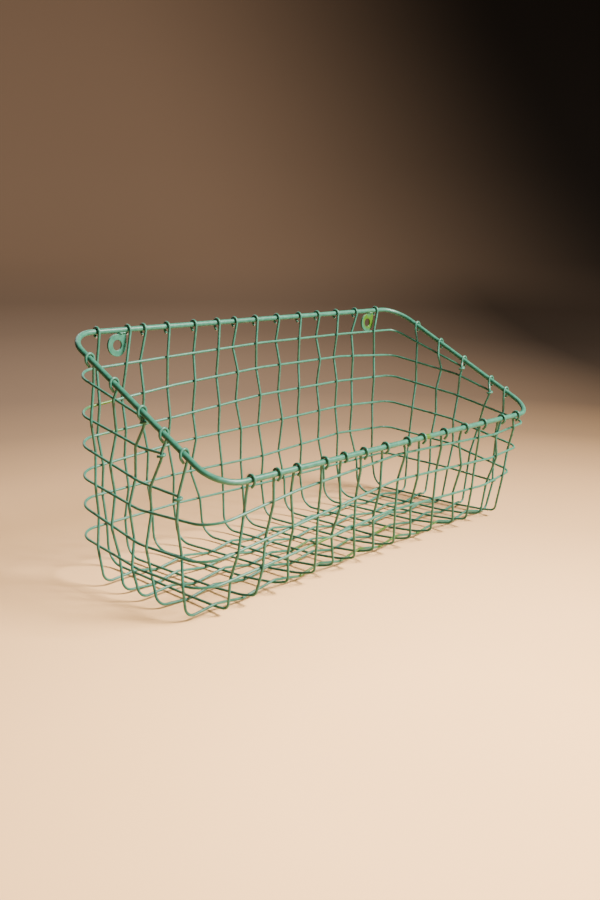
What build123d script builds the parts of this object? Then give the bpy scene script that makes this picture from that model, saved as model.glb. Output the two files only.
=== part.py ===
from build123d import *

import os
from math import atan2, cos, degrees, hypot, radians, sin

# A wall basket woven by hand from thin wire on a frame of thick rod.
# Millimetres. X runs along the basket, the front faces -Y, Z is up.
# The origin is on the floor under the middle of the rim.

# Rim, measured to the middle of its rod
rim_length = 457.0
rim_depth = 192.0
back_height = 214.0
front_height = 117.0
rim_corner_radius = 27.0
rod_diameter = 5.0

# Where the bottom edges stand, outwards from the rim
left_spread = 6.0
right_spread = -18.0
front_spread = -17.0
back_spread = -3.0

# How far the front edge of the floor stands above the rest of it, the share of that rise at the
# lengthwise wire next to the edge, and each cross wire's share
front_edge_rise = 8.0
next_to_edge_share = 0.4
edge_rise_shares = [0.30, 0.80, 1.00, 1.00, 1.10, 1.00, 1.10,
                    1.00, 0.90, 0.90, 0.90, 0.70, 0.80, 0.40]

# Bends of the mesh wires at the bottom edges, and of the hoops at their corners
left_bend_radius = 8.0
right_bend_radius = 10.0
front_bend_radius = 7.0
back_bend_radius = 16.0
back_left_corner_radius = 21.0
back_right_corner_radius = 12.0
front_right_corner_radius = 9.0
front_left_corner_radius = 23.0

# Mesh wire
wire_diameter = 2.4
weave_gap = 0.2
hook_gap = 0.15
hook_reach_angle = 245.0
hook_kink_count = 4
floor_bend_kink_count = 3
front_bend_kink_count = 2
hoop_corner_kink_count = 4
rim_corner_kink_count = 5

# Wrapped ends of the hoops
wrap_turns = 0.75
wrap_kinks_per_turn = 6
wrap_gap = 0.3
grip_margin = 0.4

# Hanging eyelets
eyelet_inset = 52.5
eyelet_diameter = 20.0
eyelet_hole_diameter = 9.6
eyelet_thickness = 2.0
eyelet_drop = 13.3
tab_width = 9.0
weld_gap = 0.1
weld_bead_width = 4.4
weld_bead_height = 3.2
cut_overrun = 5.0

# Places of the front to back wires on the back rim, at the back and the front edge of the floor
# and on the front rim, as shares of half the rim's length
back_rim_shares = [-0.863, -0.717, -0.641, -0.521, -0.378, -0.247, -0.146,
                   -0.020, 0.117, 0.262, 0.390, 0.527, 0.669, 0.831]
floor_shares = [-0.858, -0.762, -0.630, -0.497, -0.359, -0.234, -0.105,
                0.026, 0.160, 0.289, 0.442, 0.569, 0.702, 0.850]
front_edge_shares = [-0.872, -0.740, -0.571, -0.427, -0.318, -0.188, -0.069,
                     0.067, 0.185, 0.336, 0.506, 0.614, 0.735, 0.864]
front_rim_shares = [-0.848, -0.724, -0.623, -0.477, -0.370, -0.254, -0.123,
                    0.018, 0.120, 0.274, 0.429, 0.571, 0.726, 0.850]

# Places of the lengthwise wires from rear to front, as shares of half the rim's depth
left_rim_shares = [0.642, 0.297, -0.077, -0.356, -0.610]
left_floor_shares = [0.490, 0.210, -0.030, -0.270, -0.640]
right_floor_shares = [0.560, 0.250, 0.000, -0.290, -0.610]
right_rim_shares = [0.644, 0.291, -0.055, -0.437, -0.643]

# How far a wire stands aside, where it crosses each row from the top, from the straight line
# between its place on the rim and its place on the floor. The cross wires' shares are of half the
# rim's length, the lengthwise wires' of half its depth.
back_sway_shares = [
    [-0.010, -0.020, -0.020, -0.015, -0.010, -0.010],
    [-0.025, -0.030, -0.025, -0.015, -0.010, -0.010],
    [-0.025, -0.030, -0.025, -0.020, -0.015, -0.010],
    [-0.025, -0.015, -0.025, -0.025, -0.020, -0.010],
    [-0.010, -0.025, -0.025, -0.030, -0.050, -0.020],
    [-0.020, -0.015, -0.020, -0.010, -0.015, 0.010],
    [-0.020, -0.015, -0.015, -0.010, 0.000, -0.015],
    [-0.025, -0.010, -0.010, -0.010, -0.010, -0.005],
    [-0.015, -0.015, -0.010, -0.010, -0.020, -0.010],
    [-0.025, -0.010, -0.030, -0.020, -0.020, -0.010],
    [-0.015, -0.015, -0.020, -0.030, -0.020, -0.010],
    [-0.025, -0.025, -0.030, -0.020, -0.030, -0.015],
    [-0.030, -0.045, -0.030, -0.055, -0.045, -0.020],
    [-0.040, -0.010, -0.035, -0.020, -0.045, -0.020],
]
front_sway_shares = [
    [0.015, -0.010, -0.010],
    [0.015, 0.030, 0.020],
    [0.015, 0.030, 0.045],
    [0.005, 0.045, 0.040],
    [0.020, 0.025, 0.020],
    [0.000, 0.020, 0.005],
    [0.025, 0.010, 0.020],
    [0.010, 0.015, 0.000],
    [0.025, 0.010, 0.015],
    [0.005, 0.030, 0.010],
    [0.015, 0.035, 0.040],
    [0.000, 0.045, 0.025],
    [0.025, 0.045, 0.045],
    [0.015, 0.040, 0.005],
]
left_sway_shares = [
    [0.060, 0.050, 0.080, 0.030, 0.080, 0.040],
    [0.040, 0.080, 0.110, 0.125, 0.115, 0.085],
    [-0.015, 0.090, 0.145, 0.155, 0.145, 0.095],
    [0.000, 0.040, 0.150, 0.185, 0.165, 0.150],
    [0.000, 0.000, 0.075, 0.100, 0.100, 0.020],
]
right_sway_shares = [
    [-0.020, -0.065, -0.040, -0.050, 0.005, -0.020],
    [-0.025, -0.050, -0.040, -0.030, -0.025, -0.010],
    [-0.020, -0.015, 0.005, -0.015, -0.025, -0.035],
    [0.000, -0.040, -0.020, 0.025, 0.025, 0.040],
    [0.000, 0.000, -0.015, -0.005, 0.010, 0.005],
]

# Heights of the hoops as shares of the back rim's height. A row gives the heights at the middle
# of the left wall, the back left corner, the left, middle and right of the back, the back right
# corner and the middle of the right wall.
upper_hoop_left_end_share = 0.724
upper_hoop_back_shares = [0.850, 0.871, 0.890, 0.893, 0.888]
upper_hoop_right_end_share = 0.729
second_hoop_left_end_share = 0.612
second_hoop_shares = [0.614, 0.693, 0.743, 0.772, 0.776, 0.748, 0.687]
second_hoop_right_end_share = 0.626
spiral_left_end_share = 0.467
spiral_shares = [
    [0.480, 0.570, 0.600, 0.638, 0.646, 0.634, 0.580],
    [0.370, 0.436, 0.482, 0.495, 0.511, 0.490, 0.449],
    [0.234, 0.318, 0.337, 0.333, 0.366, 0.346, 0.318],
    [0.132, 0.183, 0.201, 0.194, 0.196, 0.196, 0.187],
]
spiral_right_end_share = 0.168

# Heights of the spiral's rows on the front as shares of the front rim's height: at the front right
# corner, the right and the middle of the front, where the wire steps down, and the front left corner
spiral_front_shares = [
    [0.895, 0.850, 0.897, 0.821, 0.710],
    [0.662, 0.624, 0.676, 0.542, 0.444],
    [0.430, 0.368, 0.417, 0.320, 0.256],
]

# Places of these heights, as shares of half the rim's length
back_left_place_share = -0.50
back_right_place_share = 0.55
front_right_place_share = 0.72
step_place_share = -0.58

# Sizes that follow
rod_radius = rod_diameter / 2
wire_radius = wire_diameter / 2
half_length = rim_length / 2
half_depth = rim_depth / 2
hook_radius = rod_radius + hook_gap + wire_radius
weave_offset = wire_diameter + weave_gap
wrap_pitch = wire_diameter + wrap_gap
wrap_step = 360.0 / wrap_kinks_per_turn
hoop_corner_radii = [back_left_corner_radius, back_right_corner_radius,
                     front_right_corner_radius, front_left_corner_radius]
floor_level = weave_offset + wire_radius
rim_slope = degrees(atan2(back_height - front_height, rim_depth))
half_turn = 180.0
octagon_sides = 8
octagon_turn = half_turn / octagon_sides
straight_within = 0.6


def lerp(start, end, share):
    """The value that lies a share of the way from start to end."""
    return start + (end - start) * share


def rim_height(y):
    """Height of the rim rod's middle over a place between front and back."""
    return lerp(front_height, back_height, (y + half_depth) / rim_depth)


def fall_share(top, z):
    """How far down the wall a height lies, as a share of the way from the rim to the floor."""
    return (top - z) / (top - floor_level)


def left_wall(y, z):
    """X of the left wall's middle surface."""
    top = hook_radius - half_length
    return top - left_spread * fall_share(rim_height(y), z)


def right_wall(y, z):
    """X of the right wall's middle surface."""
    top = half_length - hook_radius
    return top + right_spread * fall_share(rim_height(y), z)


def back_wall(z):
    """Y of the back wall's middle surface."""
    return half_depth - hook_radius + back_spread * fall_share(back_height, z)


def front_wall(z):
    """Y of the front wall's middle surface."""
    return hook_radius - half_depth - front_spread * fall_share(front_height, z)


def back_left(share):
    """Sharp corner of a hoop at the back left, at a share of the back rim's height."""
    z = share * back_height
    return left_wall(half_depth, z), back_wall(z), z


def back_right(share):
    """Sharp corner of a hoop at the back right."""
    z = share * back_height
    return right_wall(half_depth, z), back_wall(z), z


def front_left(share):
    """Sharp corner of a hoop at the front left, at a share of the front rim's height."""
    z = share * front_height
    return left_wall(-half_depth, z), front_wall(z), z


def front_right(share):
    """Sharp corner of a hoop at the front right."""
    z = share * front_height
    return right_wall(-half_depth, z), front_wall(z), z


def on_left(y, share):
    """A place of a hoop on the left wall."""
    z = share * back_height
    return left_wall(y, z), y, z


def on_right(y, share):
    """A place of a hoop on the right wall."""
    z = share * back_height
    return right_wall(y, z), y, z


def on_back(x, share):
    """A place of a hoop on the back wall."""
    z = share * back_height
    return x, back_wall(z), z


def on_front(x, share):
    """A place of a hoop on the front wall."""
    z = share * front_height
    return x, front_wall(z), z


def bend_points(before, corner, after, radius, kink_count):
    """Kinks of a bend that rounds a corner. They lie just outside its arc, so that the runs touch it."""
    before, corner, after = Vector(*before), Vector(*corner), Vector(*after)
    arriving = (before - corner).normalized()
    leaving = (after - corner).normalized()
    opening = arriving.get_angle(leaving)
    turn = half_turn - opening
    inwards = (arriving + leaving).normalized()
    along = (leaving - arriving).normalized()
    middle = corner + inwards * (radius / sin(radians(opening / 2)))
    step = turn / kink_count
    reach = radius / cos(radians(step / 2))
    points = []
    for kink in range(kink_count):
        angle = radians(-turn / 2 + step * (kink + 0.5))
        points.append(middle - inwards * (reach * cos(angle)) + along * (reach * sin(angle)))
    return [tuple(point) for point in points]


def across_back(corner, left, middle, right, far_corner):
    """A row across the back wall, from the heights of its corners and of three places between them."""
    return [back_left(corner), on_back(back_left_place_share * half_length, left), on_back(0, middle),
            on_back(back_right_place_share * half_length, right), back_right(far_corner)]


def sharp_hoops():
    """The three hoops with sharp corners. Each is a list of rows, one for each wall that it crosses,
    in the order left, back, right, front. A row is a list of points along the wire."""
    left_ends = [share * half_depth for share in left_rim_shares]
    right_ends = [share * half_depth for share in right_rim_shares]

    back = across_back(*upper_hoop_back_shares)
    upper = [[on_left(left_ends[2], upper_hoop_left_end_share), back[0]], back,
             [back[-1], on_right(right_ends[2], upper_hoop_right_end_share)]]

    side, *back_shares, far_side = second_hoop_shares
    back = across_back(*back_shares)
    left_end = on_left(left_ends[3], second_hoop_left_end_share)
    right_end = on_right(right_ends[3], second_hoop_right_end_share)
    second = [[left_end, on_left(0, side), back[0]], back, [back[-1], on_right(0, far_side), right_end]]

    spiral = []
    left_end = on_left(left_ends[4], spiral_left_end_share)
    for row, (side, *back_shares, far_side) in enumerate(spiral_shares):
        back = across_back(*back_shares)
        spiral += [[left_end, on_left(0, side), back[0]], back]
        if row < len(spiral_front_shares):
            near_corner, right, middle, step, last_corner = spiral_front_shares[row]
            right_end, left_end = front_right(near_corner), front_left(last_corner)
            spiral.append([back[-1], on_right(0, far_side), right_end])
            spiral.append([right_end, on_front(front_right_place_share * half_length, right),
                           on_front(0, middle), on_front(step_place_share * half_length, step), left_end])
    right_end = on_right(right_ends[4], spiral_right_end_share)
    spiral.append([back[-1], on_right(0, far_side), right_end])
    return upper, second, spiral


def round_corners(hoop):
    """The rows of a hoop with kinks in place of their sharp corners. Both rows that meet have them."""
    rows = [list(row) for row in hoop]
    for number, (row, next_row) in enumerate(zip(hoop, hoop[1:])):
        radius = hoop_corner_radii[number % len(hoop_corner_radii)]
        kinks = bend_points(row[-2], row[-1], next_row[1], radius, hoop_corner_kink_count)
        rows[number][-1:] = kinks
        rows[number + 1][:1] = kinks
    return rows


upper_hoop, second_hoop, spiral_hoop = [round_corners(hoop) for hoop in sharp_hoops()]
left_rows = [upper_hoop[0], second_hoop[0]] + spiral_hoop[0::4]
back_rows = [upper_hoop[1], second_hoop[1]] + spiral_hoop[1::4]
right_rows = [upper_hoop[2], second_hoop[2]] + spiral_hoop[2::4]
front_rows = spiral_hoop[3::4]


def crossing(row, axis, place):
    """The point of a row at a place along its wall, and how many times its square distance a wire
    stands off there because the row bends round a corner. axis is 0 on a wall along X, 1 along Y."""
    runs = list(zip(row, row[1:]))
    start, end = min(runs, key=lambda run: max(min(run[0][axis], run[1][axis]) - place,
                                               place - max(run[0][axis], run[1][axis])))
    share = (place - start[axis]) / (end[axis] - start[axis])
    stand_off = hypot(end[0] - start[0], end[1] - start[1]) / abs(end[axis] - start[axis])
    return tuple(lerp(first, second, share) for first, second in zip(start, end)), stand_off


def hook_points(outwards, stretch):
    """Kinks of a hook round a rod, as distances outwards and upwards from the rod's middle. It runs
    from below the inside of the rod over its top to the tail below its outside."""
    step = hook_reach_angle / hook_kink_count
    reach = hook_radius / cos(radians(step / 2))
    points = [(-outwards * hook_radius, -stretch * rod_radius)]
    for kink in range(hook_kink_count):
        angle = radians(step * (kink + 0.5))
        points.append((-outwards * reach * cos(angle), stretch * reach * sin(angle)))
    tail = radians(hook_reach_angle)
    points.append((-outwards * hook_radius * cos(tail), stretch * hook_radius * sin(tail)))
    return points


def without_straight_kinks(points):
    """The points of a path less those where it hardly turns."""
    kept = [points[0]]
    for point, after in zip(points[1:], points[2:]):
        arriving = Vector(*point) - Vector(*kept[-1])
        leaving = Vector(*after) - Vector(*point)
        if arriving.get_angle(leaving) > straight_within:
            kept.append(point)
    return kept + [points[-1]]


def wire_along(points, side):
    """A round mesh wire drawn with eight sides, along straight runs with mitred kinks."""
    points = without_straight_kinks(points)
    path = Polyline(*points)
    direction = (Vector(*points[1]) - Vector(*points[0])).normalized()
    plane = Plane(origin=points[0], z_dir=direction, x_dir=side) * Rot(0, 0, octagon_turn)
    section = plane * RegularPolygon(wire_radius, octagon_sides)
    return sweep(section, path=path, transition=Transition.RIGHT)


def floor_ends(number):
    """The corners of a lengthwise wire where it meets the left and the right wall."""
    left_y = left_floor_shares[number - 1] * half_depth
    right_y = right_floor_shares[number - 1] * half_depth
    return ((left_wall(left_y, floor_level), left_y, floor_level),
            (right_wall(right_y, floor_level), right_y, floor_level))


def floor_place(number, cross_number):
    """Where a lengthwise wire and a cross wire pass each other on the floor, midway between them."""
    (left_x, left_y, z), (right_x, right_y, z) = floor_ends(number)
    slope = (right_y - left_y) / (right_x - left_x)
    back_x = floor_shares[cross_number - 1] * half_length
    edge_x = front_edge_shares[cross_number - 1] * half_length
    back_y, edge_y = back_wall(floor_level), front_wall(floor_level)
    skew = (edge_x - back_x) / (back_y - edge_y)
    x = (back_x + skew * (back_y - left_y + slope * left_x)) / (1 + skew * slope)
    y = left_y + slope * (x - left_x)
    if number == len(left_floor_shares):
        z += next_to_edge_share * front_edge_rise * edge_rise_shares[cross_number - 1]
    return x, y, z


def cross_wire(number):
    """A wire that hooks on the back rim, runs down the back, over the floor and up to the front rim."""
    index = number - 1
    back_x = back_rim_shares[index] * half_length
    floor_x = floor_shares[index] * half_length
    front_x = front_rim_shares[index] * half_length

    points = []
    for out, up in reversed(hook_points(1, 1)):
        points.append((back_x, half_depth + out, back_height + up))
    for row_number, row in enumerate(back_rows, 1):
        (x, y, z), _ = crossing(row, 0, back_x)
        sway = back_sway_shares[index][row_number - 1] * half_length
        place = lerp(back_x, floor_x, fall_share(back_height, z)) + sway
        (x, y, z), stand_off = crossing(row, 0, place)
        inwards = 1 if (number + row_number) % 2 else -1
        points.append((x, y - inwards * weave_offset * stand_off, z))

    back_corner = (floor_x, back_wall(floor_level), floor_level)
    edge_level = floor_level + front_edge_rise * edge_rise_shares[index]
    edge_x = front_edge_shares[index] * half_length
    front_corner = (edge_x, front_wall(edge_level), edge_level)
    before_edge = floor_place(len(left_floor_shares) - 1, number)
    next_to_edge = floor_place(len(left_floor_shares), number)
    climb = []
    for row_number, row in enumerate(front_rows):
        (x, y, z), _ = crossing(row, 0, front_x)
        sway = front_sway_shares[index][row_number] * half_length
        place = lerp(front_x, floor_x, fall_share(front_height, z)) + sway
        (x, y, z), stand_off = crossing(row, 0, place)
        outwards = -1 if (number + row_number) % 2 else 1
        climb.append((x, y - outwards * weave_offset * stand_off, z))
    climb.reverse()

    points += bend_points(points[-1], back_corner, before_edge, back_bend_radius, floor_bend_kink_count)
    points += [before_edge, next_to_edge]
    points += bend_points(next_to_edge, front_corner, climb[0], front_bend_radius, front_bend_kink_count)
    points += climb
    for out, up in hook_points(-1, 1):
        points.append((front_x, out - half_depth, front_height + up))
    return wire_along(points, (1, 0, 0))


# The lengthwise wire that the ends of the hoops are wrapped round, by the row's number from the top
left_wraps = {1: 3, 2: 4, 3: 5}
right_wraps = {1: 3, 2: 4, 6: 5}


def outer_side(number, row_number, wall_side):
    """1 where a lengthwise wire passes a row on its outside and -1 on its inside. A wire that a hoop's
    end grips stays on its side of the next row. wall_side is -1 on the left wall, 1 on the right."""
    wraps = left_wraps if wall_side < 0 else right_wraps
    if wraps.get(row_number) == number:
        row_number += 1
    even = 1 if (number + row_number) % 2 == 0 else -1
    return even * wall_side


def side_crossings(number, wall_side):
    """Kinks of a lengthwise wire on a side wall from the top, where a hoop passes or grips it."""
    rows, wraps = (left_rows, left_wraps) if wall_side < 0 else (right_rows, right_wraps)
    rim_shares, floor_ends_shares = side_shares(wall_side)
    rim_y = rim_shares[number - 1] * half_depth
    floor_y = floor_ends_shares[number - 1] * half_depth
    top = rim_height(rim_y)
    points = []
    for row_number, row in enumerate(rows, 1):
        if number > wraps.get(row_number, number):
            continue
        (x, y, z), _ = crossing(row, 1, rim_y)
        place = lerp(rim_y, floor_y, fall_share(top, z))
        gripped = wraps.get(row_number) == number
        if gripped:
            place = rim_y
        (x, y, z), stand_off = crossing(row, 1, place + side_sway(number, row_number, wall_side))
        x += wall_side * outer_side(number, row_number, wall_side) * weave_offset * stand_off
        if gripped:
            points.append((x, y, z + wire_radius + grip_margin))
            points.append((x, y, z - wrap_turns * wrap_pitch - wire_radius - grip_margin))
        else:
            points.append((x, y, z))
    return points


def side_sway(number, row_number, wall_side):
    """How far a lengthwise wire stands aside from its straight line where it crosses a row."""
    sway_shares = left_sway_shares if wall_side < 0 else right_sway_shares
    return sway_shares[number - 1][row_number - 1] * half_depth


def side_shares(wall_side):
    """Places of the lengthwise wires at the rim and at the floor of a side wall."""
    if wall_side < 0:
        return left_rim_shares, left_floor_shares
    return right_rim_shares, right_floor_shares


def long_wire(number):
    """A wire that hooks on the left rim, runs down the left wall, over the floor and up to the right."""
    index = number - 1
    left_y = left_rim_shares[index] * half_depth
    right_y = right_rim_shares[index] * half_depth
    stretch = 1 / cos(radians(rim_slope))

    points = []
    for out, up in reversed(hook_points(-1, stretch)):
        points.append((out - half_length, left_y, rim_height(left_y) + up))
    points += side_crossings(number, -1)

    left_corner, right_corner = floor_ends(number)
    floor_run = []
    for cross_number in range(1, len(floor_shares) + 1):
        x, y, z = floor_place(number, cross_number)
        above = 1 if (number + cross_number) % 2 == 0 else -1
        floor_run.append((x, y, z + above * weave_offset))
    climb = side_crossings(number, 1)
    climb.reverse()

    points += bend_points(points[-1], left_corner, floor_run[0], left_bend_radius, floor_bend_kink_count)
    points += floor_run
    points += bend_points(floor_run[-1], right_corner, climb[0], right_bend_radius,
                          floor_bend_kink_count)
    points += climb
    for out, up in hook_points(1, stretch):
        points.append((half_length + out, right_y, rim_height(right_y) + up))
    return wire_along(points, (0, 1, 0))


def wrapped_end(row_number, wall_side):
    """Kinks of a hoop's end to its tip, wound down round the lengthwise wire that it grips."""
    rows, wraps = (left_rows, left_wraps) if wall_side < 0 else (right_rows, right_wraps)
    number = wraps[row_number]
    rim_y = side_shares(wall_side)[0][number - 1] * half_depth
    place = rim_y + side_sway(number, row_number, wall_side)
    (x, grip_y, z), _ = crossing(rows[row_number - 1], 1, place)
    towards_wire = wall_side * outer_side(number, row_number, wall_side)
    grip_x = x + towards_wire * weave_offset
    reach = weave_offset / cos(radians(wrap_step / 2))
    points = []
    for kink in range(round(wrap_turns * wrap_kinks_per_turn)):
        angle = radians(wrap_step * (kink + 0.5))
        fall = wrap_pitch * (kink + 0.5) / wrap_kinks_per_turn
        points.append((grip_x - towards_wire * reach * cos(angle), grip_y - reach * sin(angle), z - fall))
    return points


def hoop_wire(rows, first_row_number, last_row_number):
    """A hoop along its rows, with each end wrapped round a wire of a side wall."""
    path = wrapped_end(first_row_number, -1)[::-1] + rows[0][1:]
    for row in rows[1:]:
        path += row[hoop_corner_kink_count:]
    return wire_along(path[:-1] + wrapped_end(last_row_number, 1), (0, 0, 1))


def rim_rod():
    """The thick rod, bent to a rounded rectangle that slopes down to the front."""
    corners = [(half_length, half_depth), (half_length, -half_depth), (-half_length, -half_depth),
               (-half_length, half_depth)]
    corners = [(x, y, rim_height(y)) for x, y in corners]
    path = [(0, half_depth, back_height)]
    for before, corner, after in zip(corners[-1:] + corners, corners, corners[1:] + corners):
        path += bend_points(before, corner, after, rim_corner_radius, rim_corner_kink_count)
    section = Plane(origin=path[0], z_dir=(1, 0, 0)) * Circle(rod_radius)
    return sweep(section, path=Polyline(*path, close=True), transition=Transition.RIGHT)


def hanging_eyelet(middle_x):
    """A flat ring with a tab at its right that rises to the underside of the back rod, and its weld."""
    ring_z = back_height - eyelet_drop
    ring_radius = eyelet_diameter / 2
    tab_right = middle_x + ring_radius
    tab_left = tab_right - tab_width
    tab_middle = (tab_left + tab_right) / 2
    plate_back = half_depth + eyelet_thickness / 2
    plate_plane = Plane(origin=(0, plate_back, 0), x_dir=(1, 0, 0), z_dir=(0, -1, 0))

    tab_height = back_height - ring_z
    disc = Pos(middle_x, ring_z) * Circle(ring_radius)
    tab = Pos(tab_middle, ring_z + tab_height / 2) * Rectangle(tab_width, tab_height)
    hole = Pos(middle_x, ring_z) * Circle(eyelet_hole_diameter / 2)
    plate = extrude(plate_plane * (disc + tab - hole), eyelet_thickness)

    bead_foot = back_height - rod_radius - weld_bead_height / 2
    bead_top = bead_foot + weld_bead_height
    half_foot = eyelet_thickness / 2
    half_top = weld_bead_width / 2
    bead_outline = Polyline((-half_foot, bead_foot), (half_foot, bead_foot),
                            (half_top, bead_top), (-half_top, bead_top), close=True)
    bead_plane = Plane(origin=(tab_left, half_depth, 0), x_dir=(0, 1, 0), z_dir=(1, 0, 0))
    bead = extrude(bead_plane * make_face(bead_outline), tab_width)

    seat_plane = Plane(origin=(tab_left - cut_overrun, half_depth, back_height), z_dir=(1, 0, 0))
    seat = extrude(seat_plane * Circle(rod_radius + weld_gap), tab_width + 2 * cut_overrun)
    return plate + bead - seat


def save(shape, name):
    """Write one piece of the basket."""
    export_step(shape, "parts/" + name + ".step")


os.makedirs("parts", exist_ok=True)
save(rim_rod(), "rim_rod")
save(hanging_eyelet(eyelet_inset - half_length), "left_hanging_eyelet")
save(hanging_eyelet(half_length - eyelet_inset), "right_hanging_eyelet")
save(hoop_wire(upper_hoop, 1, 1), "upper_hoop_wire")
save(hoop_wire(second_hoop, 2, 2), "second_hoop_wire")
save(hoop_wire(spiral_hoop, 3, 6), "spiral_hoop_wire")
for wire_number in range(1, len(floor_shares) + 1):
    save(cross_wire(wire_number), "cross_wire_%02d" % wire_number)
for wire_number in range(1, len(left_rim_shares) + 1):
    save(long_wire(wire_number), "long_wire_%d" % wire_number)
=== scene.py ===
from math import acos, atan2, cos, degrees, hypot, pi, radians, sin, tan

import bmesh
import bpy
from mathutils import Matrix, Vector, noise


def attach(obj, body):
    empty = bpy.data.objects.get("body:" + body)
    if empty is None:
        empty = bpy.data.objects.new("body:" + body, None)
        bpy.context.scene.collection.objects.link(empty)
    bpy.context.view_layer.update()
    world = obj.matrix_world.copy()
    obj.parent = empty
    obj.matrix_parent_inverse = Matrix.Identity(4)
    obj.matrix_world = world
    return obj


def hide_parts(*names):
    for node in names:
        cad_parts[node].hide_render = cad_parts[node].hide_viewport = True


# A wall basket woven by hand from thin wire on a frame of thick rod.
# Its sizes are given in millimetres. X runs along the basket, the front faces -Y, Z is up.

MM = 0.001
FULL_TURN = 360.0

# Rim, measured to the middle of its rod
rim_length = 457.0
rim_depth = 192.0
back_height = 214.0
front_height = 117.0
rim_corner_radius = 27.0
rod_diameter = 5.0

# Where the bottom edges stand, outwards from the rim
left_spread = 6.0
right_spread = -18.0
front_spread = -17.0
back_spread = -3.0

# How far the front edge of the floor stands above the rest of it, the share of that rise at the
# lengthwise wire next to the edge, and each cross wire's share
front_edge_rise = 8.0
next_to_edge_share = 0.4
edge_rise_shares = [0.30, 0.80, 1.00, 1.00, 1.10, 1.00, 1.10,
                    1.00, 0.90, 0.90, 0.90, 0.70, 0.80, 0.40]

# Bends of the mesh wires at the bottom edges, and of the hoops at their corners
left_bend_radius = 8.0
right_bend_radius = 10.0
front_bend_radius = 7.0
back_bend_radius = 16.0
back_left_corner_radius = 21.0
back_right_corner_radius = 12.0
front_right_corner_radius = 9.0
front_left_corner_radius = 23.0

# Mesh wire
wire_diameter = 2.4
weave_gap = 0.2
weave_bend_radius = 9.0
hoop_sway_radius = 60.0
floor_rise_radius = 60.0

# Hooks over the rim: how far round the rod they are bent, how far their tails hang below the rod's
# middle and how far they end outwards from it
hook_gap = 0.15
hook_reach_angle = 245.0
hook_tail_fall = 6.2
hook_tail_stand_off = 0.6

# Wrapped ends of the hoops
wrap_turns = 0.75
wrap_kinks_per_turn = 6
wrap_gap = 0.3
grip_margin = 0.4

# Hanging eyelets
eyelet_inset = 52.5
eyelet_diameter = 20.0
eyelet_hole_diameter = 9.6
eyelet_thickness = 2.0
eyelet_drop = 13.3
tab_width = 9.0

# Weld beads of the eyelets
weld_blobs = 4
weld_reach = 4.2
weld_depth = 4.0
weld_height = 2.6
weld_lift = 0.22
weld_lumps_share = 0.22

# How finely the pieces are drawn, with angles in degrees
wire_sides = 12
rod_sides = 28
bend_step = 9.0
least_bend_steps = 2
least_turn = 0.3
same_within = 0.001
hook_kink_count = 4
ring_steps = 64
end_bevel_share = 0.15
edge_bevel = 0.3
edge_bevel_steps = 2
weld_blob_fineness = 3
weld_voxel = 0.25
weld_soften_rounds = 4
sheet_sides = 96

# Colours
black = (0.0, 0.0, 0.0)
white = (1.0, 1.0, 1.0)
coat_light = (0.031, 0.130, 0.084)
coat_dark = (0.017, 0.092, 0.060)
coat_olive = (0.040, 0.098, 0.008)
cut_light = (0.50, 0.50, 0.56)
cut_dark = (0.34, 0.34, 0.39)
paper_light = (0.86, 0.50, 0.22)
paper_dark = (0.84, 0.485, 0.205)
# Painted light and painted shade on the backdrop: lit and shaded tones of the far floor and the wall
far_floor_painted_lit = (0.112, 0.074, 0.050)
far_floor_painted_shade = (0.018, 0.0125, 0.009)
wall_painted_lit = (0.145, 0.093, 0.060)
wall_painted_shade = (0.008, 0.0062, 0.0050)
room_colour = (1.0, 0.97, 0.93)
key_colour = (1.0, 0.95, 0.88)
fill_colour = (0.95, 0.97, 1.0)

# How fine the mottles and grains are, as the scales and details of their noise
coat_mottle_scale = 260.0
coat_patch_scale = 45.0
coat_gloss_scale = 420.0
coat_peel_scale = 1300.0
cut_grain_scale = 1500.0
paper_mottle_scale = 3.0
usual_detail = 3.0
fine_detail = 2.0
patch_detail = 1.5
noise_roughness = 0.55

# Where in its noise the blend of two tones begins and ends
coat_mottle_shares = (0.32, 0.68)
coat_patch_shares = (0.34, 0.44)
cut_grain_shares = (0.35, 0.65)
paper_mottle_shares = (0.3, 0.7)

# Gloss and relief
coat_least_roughness = 0.27
coat_most_roughness = 0.40
coat_specular = 0.25
coat_peel_strength = 0.25
coat_peel_depth = 0.1
cut_roughness = 0.55
cut_metallic = 0.35
paper_roughness = 0.85
paper_specular = 0.0

# Backdrop, in metres, with a painted pool of light and painted shade. The floor is brightest at the
# pool's place and has darkened fully at the falloff's reach from there. The shade's way points to the
# dark side, and the painted shade deepens from its start to its end along it. The floor's tones turn
# into the wall's from wall_foot up to wall_full.
sheet_radius = 3.75
sheet_height = 2.2
painted_light_pool_place = (-0.24, -0.34, 0.0)
painted_falloff_reach = 2.0
painted_shade_way = (0.68, -0.73, 0.50)
painted_shade_start = -0.45
painted_shade_end = 1.50
wall_foot = 0.0
wall_full = 0.22

# The backdrop's section from the middle outwards, as shares of its radius and its height
sheet_shares = [(0.16, 0.0), (0.32, 0.0), (0.53, 0.0), (0.69, 0.02), (0.83, 0.09), (0.93, 0.27),
                (0.99, 0.55), (1.0, 1.0)]

# How far the painted pool of light on the floor has darkened at a distance from its place, which is a
# share of its reach
painted_falloff_shares = [(0.06, 0.0), (0.13, 0.15), (0.25, 0.52), (0.40, 0.80), (0.50, 0.93), (0.65, 0.99),
               (1.0, 1.0)]

# Where in the painted shade the far floor's lit and shaded tones lie
far_painted_shade_shares = (0.0, 0.62)

# Room and lights, in metres and watts
room_strength = 0.008
key_place = (1.00, -1.45, 2.00)
key_size = 0.75
key_power = 420.0
fill_place = (-0.05, -1.90, 0.60)
fill_size = 0.9
fill_power = 36.0
rear_place = (0.30, 1.70, 1.50)
rear_size = 1.6
rear_power = 24.0

# Camera, in degrees and millimetres
camera_place = (-679.1, -598.6, 303.4)
camera_azimuth = -47.02
camera_elevation = 13.10
camera_roll = 0.99
camera_lens = 37.75
camera_sensor = 36.0
camera_near = 10.0

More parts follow.
